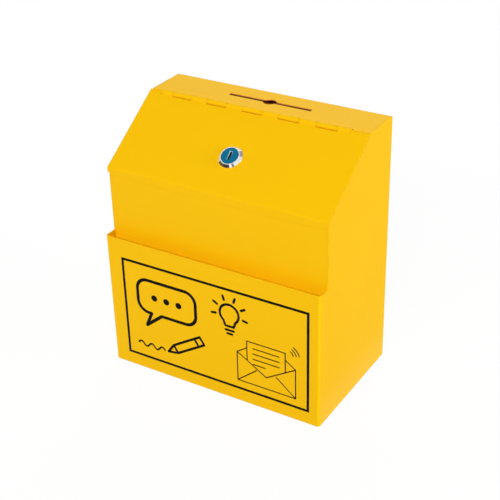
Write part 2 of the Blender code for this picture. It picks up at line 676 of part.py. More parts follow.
def make_lock_plug(axis, brass):
    """The plug that the key turns, with keyway, wafer slots, spring pockets and a square stub."""
    radius = PLUG_DIAMETER / 2
    head = PLUG_HEAD_DIAMETER / 2
    profile = [
        (0, PLUG_HEAD_TOP),
        (head, PLUG_HEAD_TOP),
        (head, PLUG_HEAD_BOTTOM),
        (radius, PLUG_HEAD_BOTTOM),
        (radius, BARREL_REAR),
        (0, BARREL_REAR),
    ]
    node = place("lock_plug", turned(profile), axis)
    half_stub = STUB_SIDE / 2
    join(node, box((-half_stub, -half_stub, STUB_END), (half_stub, half_stub, BARREL_REAR + OVERLAP)))
    half_key, half_height = KEYWAY_WIDTH / 2, KEYWAY_HEIGHT / 2
    cut(node, box((-half_key, -half_height, -KEYWAY_DEPTH), (half_key, half_height, OVERRUN)))
    for middle, side in wafer_middles():
        cut_wafer_room(node, middle, side)
    hole = circle(SCREW_DIAMETER / 2 + LOCK_GAP, SMALL_SIDES)
    cut(node, prism(hole, "Z", STUB_END - OVERRUN, SCREW_TIP + LOCK_GAP))
    node.data.materials.append(brass)
    smooth(node)
    return node


def cut_wafer_room(node, middle, side):
    half_slot = WAFER_THICKNESS / 2 + LOCK_GAP
    half_width = WAFER_WIDTH / 2 + LOCK_GAP
    low, high = middle - half_slot, middle + half_slot
    cut(node, box((-half_width, -PLUG_DIAMETER, low), (half_width, PLUG_DIAMETER, high)))
    lug_end = WAFER_WIDTH / 2 + LUG_REACH + LOCK_GAP
    near, far = sorted((0, side * lug_end))
    cut(node, box((near, LUG_BASE - LOCK_GAP, low), (far, PLUG_DIAMETER, high)))
    pocket = circle(SPRING_DIAMETER / 2 + LOCK_GAP, SMALL_SIDES, (side * spring_centre(), middle))
    floor = LUG_BASE - LOCK_GAP - SPRING_LENGTH - LOCK_GAP
    cut(node, prism(pocket, "Y", floor, LUG_BASE))


def make_plug_face(axis, blue):
    """The coloured disc on the plug, with the keyhole through it."""
    node = place("plug_face", prism(circle(PLUG_HEAD_DIAMETER / 2), "Z", FACE_BOTTOM, FACE_TOP), axis)
    half_key, half_height = KEYWAY_WIDTH / 2, KEYWAY_HEIGHT / 2
    cut(node, box((-half_key, -half_height, -OVERRUN), (half_key, half_height, OVERRUN)))
    node.data.materials.append(blue)
    smooth(node)
    return node


def make_wafer(number, middle, side, axis, brass):
    """A flat plate with a window for the key and a lug that its spring pushes on."""
    half_width, half_height = WAFER_WIDTH / 2, WAFER_HEIGHT / 2
    lug_end = half_width + LUG_REACH
    outline = [
        (-half_width, -half_height),
        (half_width, -half_height),
        (half_width, LUG_BASE),
        (lug_end, LUG_BASE),
        (lug_end, LUG_BASE + LUG_HEIGHT),
        (half_width, LUG_BASE + LUG_HEIGHT),
        (half_width, half_height),
        (-half_width, half_height),
    ]
    outline = [(side * x, y) for x, y in outline]
    low, high = middle - WAFER_THICKNESS / 2, middle + WAFER_THICKNESS / 2
    node = place(f"wafer_{number}", prism(outline, "Z", low, high), axis)
    half_window, half_tall = WAFER_WINDOW_WIDTH / 2, WAFER_WINDOW_HEIGHT / 2
    cut(node, box((-half_window, -half_tall, low - OVERLAP), (half_window, half_tall, high + OVERLAP)))
    node.data.materials.append(brass)
    return node


def make_wafer_spring(number, middle, side, axis, steel):
    """A small coil spring standing in its blind pocket, under the wafer's lug."""
    radius = (SPRING_DIAMETER - SPRING_WIRE) / 2
    top = LUG_BASE - LOCK_GAP - SPRING_WIRE / 2
    rise = (SPRING_LENGTH - SPRING_WIRE) / (SPRING_TURNS * SPRING_POINTS_A_TURN)
    curve = bpy.data.curves.new(f"wafer_spring_{number}", "CURVE")
    curve.dimensions = "3D"
    curve.bevel_depth = SPRING_WIRE / 2
    curve.bevel_resolution = 0
    curve.use_fill_caps = True
    count = SPRING_TURNS * SPRING_POINTS_A_TURN + 1
    line = curve.splines.new("POLY")
    line.points.add(count - 1)
    for i, point in enumerate(line.points):
        turn = 2 * math.pi * i / SPRING_POINTS_A_TURN
        x = side * spring_centre() + radius * math.cos(turn)
        point.co = (x, top - rise * i, middle + radius * math.sin(turn), 1)
    node = bpy.data.objects.new(f"wafer_spring_{number}", curve)
    bpy.context.collection.objects.link(node)
    node.parent = axis
    curve.materials.append(steel)
    return node


def square_outline(side):
    half = side / 2
    return [(-half, -half), (half, -half), (half, half), (-half, half)]


def make_stop_washer(axis, steel):
    """Turns with the plug. Its tab runs in the free sector of the stop wall."""
    bottom = STOP_WASHER_TOP - STOP_WASHER_THICKNESS
    disc = circle(STOP_WASHER_DIAMETER / 2)
    node = place("stop_washer", prism(disc, "Z", bottom, STOP_WASHER_TOP), axis)
    half_tab = STOP_TAB_WIDTH / 2
    tab_end = STOP_WALL_INNER_DIAMETER / 2 + STOP_TAB_REACH
    join(node, box((0, -half_tab, bottom), (tab_end, half_tab, STOP_WASHER_TOP)))
    hole = square_outline(STUB_SIDE + 2 * LOCK_GAP)
    cut(node, prism(hole, "Z", bottom - OVERRUN, STOP_WASHER_TOP + OVERRUN))
    node.data.materials.append(steel)
    smooth(node)
    return node


def make_cam(axis, steel):
    """A flat arm: round round its square hole, narrowing to a tip with rounded corners."""
    hub = CAM_HUB_DIAMETER / 2
    half_tip = CAM_TIP_WIDTH / 2
    radius = CAM_TIP_RADIUS
    lean = math.asin((hub - half_tip) / CAM_LENGTH)
    around = arc((0, 0), hub, math.pi / 2 - lean, 1.5 * math.pi + lean)
    lower = arc((CAM_LENGTH - radius, radius - half_tip), radius, -math.pi / 2 + lean, 0)
    upper = arc((CAM_LENGTH - radius, half_tip - radius), radius, 0, math.pi / 2 - lean)
    node = place("cam", prism(around + lower + upper, "Z", CAM_BOTTOM, CAM_TOP), axis)
    hole = square_outline(STUB_SIDE + 2 * LOCK_GAP)
    cut(node, prism(hole, "Z", CAM_BOTTOM - OVERRUN, CAM_TOP + OVERRUN))
    node.data.materials.append(steel)
    smooth(node)
    return node


def make_cam_washer(axis, steel):
    inner = SCREW_DIAMETER / 2 + LOCK_GAP
    outer = CAM_WASHER_DIAMETER / 2
    bottom = CAM_WASHER_TOP - CAM_WASHER_THICKNESS
    profile = [(inner, CAM_WASHER_TOP), (outer, CAM_WASHER_TOP), (outer, bottom), (inner, bottom)]
    node = place("cam_washer", turned(profile, SMALL_SIDES), axis, steel)
    smooth(node)
    return node


def make_cam_screw(axis, steel):
    """Holds the cam on the stub. Its head hangs below the cam, its shank stands in the plug."""
    shank = SCREW_DIAMETER / 2
    head = SCREW_HEAD_DIAMETER / 2
    low = SCREW_HEAD_TOP - SCREW_HEAD_HEIGHT
    rounding = arc((head - SCREW_HEAD_ROUND, low + SCREW_HEAD_ROUND), SCREW_HEAD_ROUND, 0, -math.pi / 2)
    profile = [(0, SCREW_TIP), (shank, SCREW_TIP), (shank, SCREW_HEAD_TOP), (head, SCREW_HEAD_TOP)]
    node = place("cam_screw", turned(profile + rounding + [(0, low)], SMALL_SIDES), axis, steel)
    smooth(node)
    return node


def make_lock(axis):
    """Everything that turns with the key, the housing that stays in the lid, and its nut and washer."""
    chrome = make_material("bright_chrome", (205, 207, 210), 0.15, 1)
    steel = make_material("zinc_plated_steel", (180, 182, 184), 0.35, 1)
    brass = make_material("lock_brass", (200, 170, 95), 0.3, 1)
    blue = make_material("blue_plug_face", (10, 120, 190), 0.3, 0)
    make_lock_housing(axis, chrome)
    make_lock_washer(axis, steel)
    make_lock_nut(axis, steel)
    make_lock_plug(axis, brass)
    make_plug_face(axis, blue)
    for number, (middle, side) in enumerate(wafer_middles(), start=1):
        make_wafer(number, middle, side, axis, brass)
        make_wafer_spring(number, middle, side, axis, steel)
    make_stop_washer(axis, steel)
    make_cam(axis, steel)
    make_cam_washer(axis, steel)
    make_cam_screw(axis, steel)


def main():
    clear_scene()
    paint = make_material("yellow_powder_coat", (250, 196, 26), 0.4, 0)
    steel = make_material("hinge_wire_steel", (190, 190, 190), 0.3, 1)
    make_outer_wrap(paint)
    make_back_shell(paint)
    make_front_panel(paint)
    make_hinge_pin(steel)
    hinge = empty("lid_hinge", (0, HINGE_Y, HINGE_Z), LID_SLOPE)
    make_lid(hinge, paint)
    lock_axis = empty("lock_axis", (0, -LOCK_DISTANCE, LEAF_RISE), parent=hinge)
    make_lock(lock_axis)
    bpy.context.view_layer.update()
    print("hinge axis", HINGE_Y, HINGE_Z)
    print("lock axis through", lock_axis.matrix_world.translation[:])


main()
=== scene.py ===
# %% [markdown]
# # A yellow suggestion box, dressed for its picture
#
# The box is folded from 1 mm steel sheet: a top plate with a slot, a sloping lid on a rolled hinge, a cam
# lock, and a card pocket across the lower front. Its shapes come from the packed model, so this lesson
# only dresses it: powder coat, metal, ink, the painted seams, the printed card pocket, the light and the
# camera.

# %% Load the packed model
import json
import math

import bmesh
import bpy
from mathutils import Matrix, Vector
from mathutils.geometry import delaunay_2d_cdt


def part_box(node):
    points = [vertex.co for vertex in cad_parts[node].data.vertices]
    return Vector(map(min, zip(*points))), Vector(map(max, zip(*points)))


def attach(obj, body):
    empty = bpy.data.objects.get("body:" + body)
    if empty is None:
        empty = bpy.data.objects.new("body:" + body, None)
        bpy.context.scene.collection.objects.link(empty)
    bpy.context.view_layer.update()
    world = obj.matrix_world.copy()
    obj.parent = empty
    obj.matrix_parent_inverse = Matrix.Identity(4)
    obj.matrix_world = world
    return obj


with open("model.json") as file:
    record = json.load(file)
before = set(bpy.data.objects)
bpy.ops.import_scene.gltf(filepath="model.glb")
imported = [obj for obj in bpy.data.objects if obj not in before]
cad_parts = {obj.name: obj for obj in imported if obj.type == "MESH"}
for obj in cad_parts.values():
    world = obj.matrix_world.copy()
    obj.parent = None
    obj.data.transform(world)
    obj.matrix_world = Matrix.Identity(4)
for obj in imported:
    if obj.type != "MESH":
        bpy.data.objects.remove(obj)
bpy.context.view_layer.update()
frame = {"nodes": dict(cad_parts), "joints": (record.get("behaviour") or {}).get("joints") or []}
MM = 0.001
JOINTS = {joint["name"]: joint for joint in frame["joints"]}
print("nodes:", len(frame["nodes"]), "joints:", list(JOINTS))

# %% [markdown]
# ## Shader maths that reads like maths
#
# A finish is a tree of nodes. Wiring it by hand takes three lines a node and hides the sum that it stands
# for. Here a socket is wrapped so that plus, minus, times and abs add the Math nodes. Two comparisons
# have a word each.

# %% A socket that can stand in a sum
class Wire:
    """An output socket of a finish. Each sign used on it adds one Math node."""

    def __init__(self, finish, socket):
        self.finish = finish
        self.socket = socket

    def worked(self, operation, first, second):
        return self.finish.node("ShaderNodeMath", {"operation": operation}, {0: first, 1: second})

    def __add__(self, other):
        return self.worked("ADD", self, other)

    def __radd__(self, other):
        return self.worked("ADD", other, self)

    def __sub__(self, other):
        return self.worked("SUBTRACT", self, other)

    def __rsub__(self, other):
        return self.worked("SUBTRACT", other, self)

    def __mul__(self, other):
        return self.worked("MULTIPLY", self, other)

    def __rmul__(self, other):
        return self.worked("MULTIPLY", other, self)

    def __abs__(self):
        return self.finish.node("ShaderNodeMath", {"operation": "ABSOLUTE"}, {0: self})

    def larger(self, other):
        return self.worked("MAXIMUM", self, other)

    def above(self, other):
        """1 where this is above the other value, and 0 elsewhere."""
        return self.worked("GREATER_THAN", self, other)


print("a wire knows", [name for name in vars(Wire) if callable(getattr(Wire, name))])

# %% [markdown]
# A finish wraps one material. Its `node` method takes the node's type, its settings, and the values or
# links of its sockets, and gives back a wire. A ramp's stops are a setting too. Colours are blended by a
# Mix node, because a Math node would turn them grey. No surface is quite flat in lamp light, so `bumps`
# turns a height into fine relief on a softly rounded edge.

# %% A finish that adds its own nodes
BEVEL_SAMPLES = 6


class Finish:
    """One material and the tree behind it."""

    def __init__(self, name, tree=None):
        self.material = None
        if tree is None:
            self.material = bpy.data.materials.new(name)
            self.material.use_nodes = True
            tree = self.material.node_tree
        self.tree = tree
        self.shader = tree.nodes.get("Principled BSDF")

    def node(self, kind, settings=None, sockets=None, output=0):
        added = self.tree.nodes.new(kind)
        for name, value in (settings or {}).items():
            if name == "stops":
                self.set_stops(added.color_ramp, value)
            else:
                setattr(added, name, value)
        for name, value in (sockets or {}).items():
            self.feed(added.inputs[name], value)
        return Wire(self, added.outputs[output])

    def set_stops(self, ramp, stops):
        """Stops are (place from 0 to 1, grey value)."""
        while len(ramp.elements) < len(stops):
            ramp.elements.new(1)
        for element, (place, grey) in zip(ramp.elements, stops):
            element.position = place
            element.color = (grey, grey, grey, 1)

    def feed(self, socket, value):
        if isinstance(value, Wire):
            self.tree.links.new(value.socket, socket)
        else:
            socket.default_value = value

    def set(self, **values):
        """Sockets of the shader, by name with underscores for spaces."""
        for name, value in values.items():
            self.feed(self.shader.inputs[name.replace("_", " ")], value)

    def blend(self, first, second, share):
        return self.node("ShaderNodeMix", {"data_type": "RGBA"}, {0: share, 6: first, 7: second}, output=2)

    def place(self):
        """Where a point is on the object, in metres."""
        return self.node("ShaderNodeTexCoord", output="Object")

    def part(self, vector, axis):
        """The X, Y or Z of a vector."""
        return self.node("ShaderNodeSeparateXYZ", None, {0: vector}, output=axis)

    def fade(self, value, start, end):
        """0 up to the start and 1 from the end on. The start may be the higher one."""
        return self.node("ShaderNodeMapRange", None, {"Value": value, "From Min": start, "From Max": end})

    def stretched(self, place, scale):
        return self.node("ShaderNodeMapping", None, {"Vector": place, "Scale": scale})

    def noise(self, place, size, detail=2, roughness=0.5):
        """Cloudy values about 0.5, whose clouds are about this many metres across."""
        sockets = {"Vector": place, "Scale": 1 / size, "Detail": detail, "Roughness": roughness}
        return self.node("ShaderNodeTexNoise", None, sockets)

    def bumps(self, height, depth, edge=0.0):
        """A relief of this depth in metres. An edge above 0 rounds the shape's corners by that much."""
        sockets = {"Height": height, "Distance": depth, "Strength": 1}
        if edge:
            sockets["Normal"] = self.node("ShaderNodeBevel", {"samples": BEVEL_SAMPLES}, {"Radius": edge})
        return self.node("ShaderNodeBump", None, sockets)


def paint(*srgb):
    """An sRGB colour, 0 to 255, as the linear colour that a shader takes."""
    shares = [channel / 255 for channel in srgb]
    return (*[s / 12.92 if s <= 0.04045 else ((s + 0.055) / 1.055) ** 2.4 for s in shares], 1)


print("golden yellow as linear light:", [round(part, 3) for part in paint(250, 196, 26)])

# %% [markdown]
# ## Powder coat
#
# The sheet is sprayed with dry powder and baked. The skin is even in colour and half glossy, with a faint
# orange peel a millimetre or two across, finer grit in it, and softly rounded edges where the paint has
# flowed. It could be one flat colour, but then the slope and the sides would look like plastic card, so
# the colour drifts by a per cent or two over a hand's breadth, and the roughness follows the peel.

# %% Make the powder coat
POWDER_YELLOW = paint(250, 196, 10)
POWDER_DEEP = paint(249, 192, 8)
# Orange painted shade for the fold under the top plate, where light turns red-brown after many bounces.
FOLD_SHADE_ORANGE = paint(253, 156, 92)
DRIFT_SIZE = 70 * MM
PEEL_SIZE = 1.8 * MM
GRIT_SIZE = 0.35 * MM
COAT_RELIEF = 0.012 * MM
COAT_EDGE = 0.3 * MM
COAT_GLOSS = 0.08


def powder_coat(name, shade_where=None):
    """The coat of the box. Where shade_where(finish, place) nears 1, an orange painted shade replaces its
    colour.
    """
    finish = Finish(name)
    place = finish.place()
    drift = finish.noise(place, DRIFT_SIZE, detail=3)
    peel = finish.noise(place, PEEL_SIZE)
    grit = finish.noise(place, GRIT_SIZE, detail=1)
    colour = finish.blend(POWDER_YELLOW, POWDER_DEEP, drift)
    if shade_where:
        colour = finish.blend(colour, FOLD_SHADE_ORANGE, shade_where(finish, place))
    finish.set(Base_Color=colour)
    finish.set(Roughness=0.3 + 0.1 * peel + 0.06 * grit, IOR=1.5, Specular_IOR_Level=COAT_GLOSS)
    finish.set(Normal=finish.bumps(0.8 * peel + 0.2 * grit, COAT_RELIEF, edge=COAT_EDGE))
    return finish.material


YELLOW_COAT = powder_coat("yellow_powder_coat")
print("made", YELLOW_COAT.name)

# %% [markdown]
# In the fold under the top plate the coat turns orange with painted shade. In the slot's shade this reads
# red-brown, the colour that light takes after many bounces in there. Three fades make the mask. Two keep it
# off the outer faces of the top plate and the back, by a point's depth below each, and the third ends it
# about three centimetres from the fold.

# %% Make the coat of the folded sheet, with painted shade in its fold
SHADE_REACH = 32 * MM
SHADE_FULL = 0.6 * SHADE_REACH
TOP_FADE = (0.15 * MM, 0.4 * MM)
BACK_FADE = (0.8 * MM, 0.9 * MM)


def painted_fold_shade(finish, place):
    """Painted shade: 1 in the fold between the top plate and the back, 0 on the faces that show and farther
    inside.
    """
    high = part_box("outer_wrap")[1]
    below_top = high.z - finish.part(place, "Z")
    before_back = high.y - finish.part(place, "Y")
    inside = finish.fade(below_top, *TOP_FADE) * finish.fade(before_back, *BACK_FADE)
    return inside * finish.fade(below_top + before_back, SHADE_REACH, SHADE_FULL)


# The back shell's coat, with painted shade in the fold under its top plate.
FOLD_SHADED_COAT = powder_coat("yellow_powder_coat_fold_shade", painted_fold_shade)
print("made", FOLD_SHADED_COAT.name)

# %% [markdown]
# ## Metals of the lock
#
# The bezel is chromed, the nut, washers and cam are zinc plated, the plug and its wafers are brass, and
# the hinge wire and springs are drawn steel. Each is a metal with its own colour, but what tells them
# apart is their skin: chrome is nearly a mirror with a faint bloom, zinc is cloudy, brass keeps the
# strokes of the mill.

# %% Make the metals
METAL_EDGE = 0.12 * MM
WIRE_GREY = paint(186, 187, 188)
WIRE_CLOUDS = 0.8 * MM
DRAWN_ALONG_X = (0.08, 1, 1)
MILLED_ALONG_Y = (1, 0.15, 1)


def metal(name, colour, roughness, cloud, cloud_size, stroke=(1, 1, 1), depth=0.004 * MM, dull=0.8):
    """Clouds darken the colour, down to dull times it, and roughen it. A small stroke draws them out."""
    finish = Finish(name)
    place = finish.stretched(finish.place(), stroke)
    clouds = finish.noise(place, cloud_size, detail=4, roughness=0.6)
    darker = (*[dull * part for part in colour[:3]], 1)
    finish.set(Base_Color=finish.blend(colour, darker, clouds), Metallic=1.0)
    finish.set(Roughness=roughness + cloud * clouds, Normal=finish.bumps(clouds, depth, edge=METAL_EDGE))
    return finish.material


CHROME = metal("bright_chrome", paint(253, 254, 254), 0.04, 0.12, 2.5 * MM, depth=0.002 * MM, dull=0.93)
ZINC = metal("zinc_plated_steel", paint(196, 198, 200), 0.22, 0.3, 3 * MM)
BRASS = metal("lock_brass", paint(214, 178, 104), 0.18, 0.25, 1.2 * MM, stroke=MILLED_ALONG_Y)
WIRE_STEEL = metal("drawn_wire_steel", WIRE_GREY, 0.2, 0.25, WIRE_CLOUDS, stroke=DRAWN_ALONG_X)
print("made", CHROME.name, ZINC.name, BRASS.name, WIRE_STEEL.name)

# %% [markdown]
# The hinge pin is put in before the box is sprayed, so its two ends are yellow and the rest stays bare
# inside the knuckles. One finish does both: a mask along X swaps the metal's colour and shine for the
# paint's.

# %% Make the pin's finish
PIN_END_COAT = 0.8 * MM
PIN_RELIEF = 0.004 * MM


def coated_pin():
    low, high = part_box("hinge_pin")
    finish = Finish("pin_with_coated_ends")
    place = finish.place()
    clouds = finish.noise(finish.stretched(place, DRAWN_ALONG_X), WIRE_CLOUDS, detail=4)
    off_middle = finish.part(place, "X") - (low.x + high.x) / 2
    coat = abs(off_middle).above((high.x - low.x) / 2 - PIN_END_COAT)
    finish.set(Base_Color=finish.blend(WIRE_GREY, POWDER_YELLOW, coat), Metallic=1 - coat)
    finish.set(Roughness=0.22 + 0.2 * clouds, Specular_IOR_Level=COAT_GLOSS)
    finish.set(Normal=finish.bumps(clouds, PIN_RELIEF, edge=METAL_EDGE))
    return finish.material


COATED_PIN = coated_pin()
print("made", COATED_PIN.name)

# %% [markdown]
# ## Blue face of the plug
#
# A coloured disc tells which key belongs to the lock. It is dyed metal under a clear lacquer, so it takes a
# clear coat over a blue that is a little uneven. Along the keyhole a pale metal band stands for dye scraped
# thin by keys and also for a painted glint, widest on its left and at its upper end. That band is measured
# from the keyhole's outline: across it in X, along it up the lid.

# %% Make the blue face
KEYHOLE_HALF_WIDTH = 1.1 * MM
KEYHOLE_HALF_LENGTH = 4 * MM
SCRAPE_GLINT_WIDTH = 0.32 * MM
SCRAPE_GLINT_FADE = 0.1 * MM
RAGGED_SIZE = 0.5 * MM
WIDER_UPWARDS = 0.06
WIDER_LEFTWARDS = 0.14
FACE_CLOUDS = 3 * MM
FACE_GRAIN = 0.25 * MM
FACE_RELIEF = 0.003 * MM
FACE_EDGE = 0.2 * MM
lid_out = -Vector(JOINTS["lock_turn"]["axis"])
lid_up = Vector((0, lid_out.z, -lid_out.y))
lock_middle = Vector(JOINTS["lock_turn"]["pos_m"])


def scrape_and_glint(finish, place):
    """1 in the band of scraped dye and painted glint round the keyhole, fading to 0 at its ragged outer
    edge.
    """
    ragged = finish.noise(place, RAGGED_SIZE, detail=3)
    off_middle = finish.node("ShaderNodeVectorMath", {"operation": "SUBTRACT"}, {0: place, 1: lock_middle})
    dot_product = {"operation": "DOT_PRODUCT"}
    along = finish.node("ShaderNodeVectorMath", dot_product, {0: off_middle, 1: lid_up}, output="Value")
    across = finish.part(off_middle, "X")
    outside = (abs(across) - KEYHOLE_HALF_WIDTH).larger(abs(along) - KEYHOLE_HALF_LENGTH)
    reach = SCRAPE_GLINT_WIDTH * (0.5 + ragged) + WIDER_UPWARDS * along - WIDER_LEFTWARDS * across
    return finish.fade(reach - outside, 0, SCRAPE_GLINT_FADE)


def blue_face():
    finish = Finish("blue_plug_face")
    place = finish.place()
    clouds = finish.noise(place, FACE_CLOUDS, detail=3)
    grain = finish.noise(place, FACE_GRAIN, detail=1)
    bare_and_glint = scrape_and_glint(finish, place)
    dye = finish.blend(paint(2, 116, 149), paint(2, 93, 132), clouds)
    # The pale metal in the band is scraped dye and also a painted glint.
    finish.set(Base_Color=finish.blend(dye, paint(166, 206, 220), bare_and_glint), Metallic=0.6 * bare_and_glint)
    finish.set(Roughness=0.24 + 0.12 * clouds, Specular_IOR_Level=0.1)
    finish.set(Coat_Weight=0.06, Coat_Roughness=0.08)
    finish.set(Normal=finish.bumps(grain, FACE_RELIEF, edge=FACE_EDGE))
    return finish.material


BLUE_FACE = blue_face()
print("made", BLUE_FACE.name)

# %% [markdown]
# ## Printing ink
#
# The pictures on the card pocket are screen printed in one black. Ink is duller than powder coat and
# shows the mesh of the screen as a fine tooth, so it gets its own roughness and a very shallow relief.

# %% Make the ink
SCREEN_TOOTH = 0.3 * MM
INK_CLOUDS = 12 * MM
INK_RELIEF = 0.006 * MM


def black_ink():
    finish = Finish("black_screen_ink")
    place = finish.place()
    tooth = finish.noise(place, SCREEN_TOOTH, detail=1)
    clouds = finish.noise(place, INK_CLOUDS)
    finish.set(Base_Color=finish.blend(paint(7, 6, 3), paint(13, 11, 6), clouds))
    finish.set(Roughness=0.42 + 0.12 * tooth, Specular_IOR_Level=0.05)
    finish.set(Normal=finish.bumps(tooth, INK_RELIEF))
    return finish.material


BLACK_INK = black_ink()
print("made", BLACK_INK.name)

# %% [markdown]
# ## Dress the solids of the model
#
# A node whose shape is right stays and only gets a better skin. The table below says which finish each
# node takes; the wafers and springs are counted, so they are named in a loop.

# %% Give every node its finish
NODE_FINISHES = {
    "outer_wrap": YELLOW_COAT,
    "back_shell": FOLD_SHADED_COAT,
    "front_panel": YELLOW_COAT,
    "lid": YELLOW_COAT,
    "hinge_pin": COATED_PIN,
    "lock_housing": CHROME,
    "lock_washer": ZINC,
    "lock_nut": ZINC,
    "lock_plug": BRASS,
    "plug_face": BLUE_FACE,
    "stop_washer": ZINC,
    "cam": ZINC,
    "cam_washer": ZINC,
    "cam_screw": ZINC,
}
WAFERS = range(1, 6)
NODE_FINISHES.update({f"wafer_{number}": BRASS for number in WAFERS})
NODE_FINISHES.update({f"wafer_spring_{number}": WIRE_STEEL for number in WAFERS})


def dress(node, finish):
    node.data.materials.clear()
    node.data.materials.append(finish)


for name, finish in NODE_FINISHES.items():
    dress(frame["nodes"][name], finish)
print("dressed", len(NODE_FINISHES), "of", len(frame["nodes"]), "nodes")

# %% [markdown]
# ## Painted seams
#
# The top, back and bottom are one folded sheet that stands between the side walls. On the real box the
# joint is welded and the powder coat bridges it, which leaves a fine painted groove and not an open slit.
# A ribbon could be cut into the sheets, but a separate strip in the slit is simpler: it follows the
# folded sheet a hair inside its outer face.

# %% A strip along a folded path
SHEET = 1 * MM
wrap_low, wrap_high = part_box("outer_wrap")
shell_low, shell_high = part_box("back_shell")
panel_low, panel_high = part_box("front_panel")
pin_low, pin_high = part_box("hinge_pin")


def new_piece(name, shape, finish, body="box"):
    """Turns a bmesh into an object that rides on a body."""
    bmesh.ops.recalc_face_normals(shape, faces=shape.faces)
    mesh = bpy.data.meshes.new(name)
    shape.to_mesh(mesh)
    shape.free()
    mesh.materials.append(finish)
    piece = bpy.data.objects.new(name, mesh)
    bpy.context.scene.collection.objects.link(piece)
    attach(piece, body)
    return piece


def ribbon(name, outline, across, finish, body="box"):
    """A closed outline of (y, z) points, pushed across X from the first value to the second."""
    shape = bmesh.new()
    rings = [[shape.verts.new((x, y, z)) for y, z in outline] for x in across]
    count = len(outline)
    for i in range(count):
        j = (i + 1) % count
        shape.faces.new((rings[0][i], rings[0][j], rings[1][j], rings[1][i]))
    for ring in rings:
        shape.faces.new(ring)
    return new_piece(name, shape, finish, body)


print("inside the side walls:", round((wrap_high.x - wrap_low.x - 2 * SHEET) / MM, 1), "mm")

# %% [markdown]
# The strip beside the folded shell is a C seen from the side: along the top plate, down the back and
# along the bottom. The one beside the front panel is a plain upright strip. Each has a left and a right.
# The rolled hinge stops short of the walls, and a small painted strip closes the slit under the lid's
# edge there, low enough for the lid to swing over it.

# %% Fill the slits beside the folded sheets
STRIP_BITE = 0.1 * MM
SLIT_INSIDE = shell_high.x - STRIP_BITE
SLIT_OUTSIDE = wrap_high.x - SHEET + STRIP_BITE
GROOVE = 0.12 * MM
STRIP_DEPTH = 0.6 * MM
FOLD_OUTSIDE = 1.6 * MM
FOLD_STEPS = 5
hinge_y, hinge_z = JOINTS["lid_hinge"]["pos_m"][1:]
PLATE_EDGE = hinge_y + 1.5 * MM
HINGE_CLEARANCE = 0.4 * MM
UPRIGHT_FOOT = 2 * MM
UPRIGHT_HEAD = 2.2 * MM
COVER_BELOW_AXIS = 0.65 * MM
COVER_DEPTH = 0.5 * MM
COVER_FRONT = 0.4 * MM
COVER_BACK = 2.4 * MM


def shell_seam_outline():
    """Outer line of the C a groove's depth inside the shell, then its inner line back."""
    top, back, bottom = wrap_high.z - GROOVE, wrap_high.y - GROOVE, GROOVE
    front = shell_low.y + 2 * FOLD_OUTSIDE
    outer = [(PLATE_EDGE, top)]
    for centre_z, first_turn in ((top - FOLD_OUTSIDE, 90), (bottom + FOLD_OUTSIDE, 0)):
        for i in range(FOLD_STEPS + 1):
            turn = math.radians(first_turn - 90 * i / FOLD_STEPS)
            y = back - FOLD_OUTSIDE + FOLD_OUTSIDE * math.cos(turn)
            outer.append((y, centre_z + FOLD_OUTSIDE * math.sin(turn)))
    outer.append((front, bottom))
    inner = [(front, bottom + STRIP_DEPTH), (back - STRIP_DEPTH, bottom + STRIP_DEPTH)]
    return outer + inner + [(back - STRIP_DEPTH, top - STRIP_DEPTH), (PLATE_EDGE, top - STRIP_DEPTH)]


def upright_outline():
    low, high = panel_low.z + UPRIGHT_FOOT, panel_high.z - UPRIGHT_HEAD
    face = panel_low.y + GROOVE
    return [(face, low), (face + STRIP_DEPTH, low), (face + STRIP_DEPTH, high), (face, high)]


def slit_cover_outline():
    top = hinge_z - COVER_BELOW_AXIS
    low = top - COVER_DEPTH
    front, back = hinge_y - COVER_FRONT, hinge_y + COVER_BACK
    return [(front, low), (back, low), (back, top), (front, top)]


for side, word in ((-1, "left"), (1, "right")):
    across = (side * SLIT_INSIDE, side * SLIT_OUTSIDE)
    seams = [ribbon(f"shell_seam_{word}", shell_seam_outline(), across, YELLOW_COAT)]
    seams.append(ribbon(f"panel_seam_{word}", upright_outline(), across, YELLOW_COAT))
    hinge_end = pin_high.x if side > 0 else pin_low.x
    beside_hinge = (hinge_end + side * HINGE_CLEARANCE, side * SLIT_OUTSIDE)
    seams.append(ribbon(f"slit_cover_{word}", slit_cover_outline(), beside_hinge, YELLOW_COAT))
print("hinge axis at y =", round(hinge_y / MM, 2), "mm, z =", round(hinge_z / MM, 2), "mm")

# %% [markdown]
# In front of each of the box's knuckles the lid is notched, so that it can turn. The photograph shows
# yellow at the bottom of each notch, so here a flat strip under the lid closes them from below. It is
# placed from the hinge's axis, up the lid and out of it, and it turns with the lid clear of the knuckles.

# %% Close the notches from below
STRIP_FROM_AXIS = 2.9 * MM
STRIP_WIDTH = 2.2 * MM
LID_UNDERSIDE = 0.06 * MM
STRIP_END_INSET = 0.6 * MM


def on_lid(up, out):
    """A point's (y, z) from how far it is up the lid from the hinge's axis, and how far out of it."""
    return (hinge_y + up * lid_up.y + out * lid_out.y, hinge_z + up * lid_up.z + out * lid_out.z)


near, far = -STRIP_FROM_AXIS, -STRIP_FROM_AXIS - STRIP_WIDTH
below, above = LID_UNDERSIDE - STRIP_DEPTH, LID_UNDERSIDE
strip_outline = [on_lid(near, below), on_lid(near, above), on_lid(far, above), on_lid(far, below)]
strip_ends = (pin_low.x + STRIP_END_INSET, pin_high.x - STRIP_END_INSET)
notch_strip = ribbon("hinge_notch_strip", strip_outline, strip_ends, YELLOW_COAT, body="lid")
print("notch strip is", round((strip_ends[1] - strip_ends[0]) / MM, 1), "mm long")

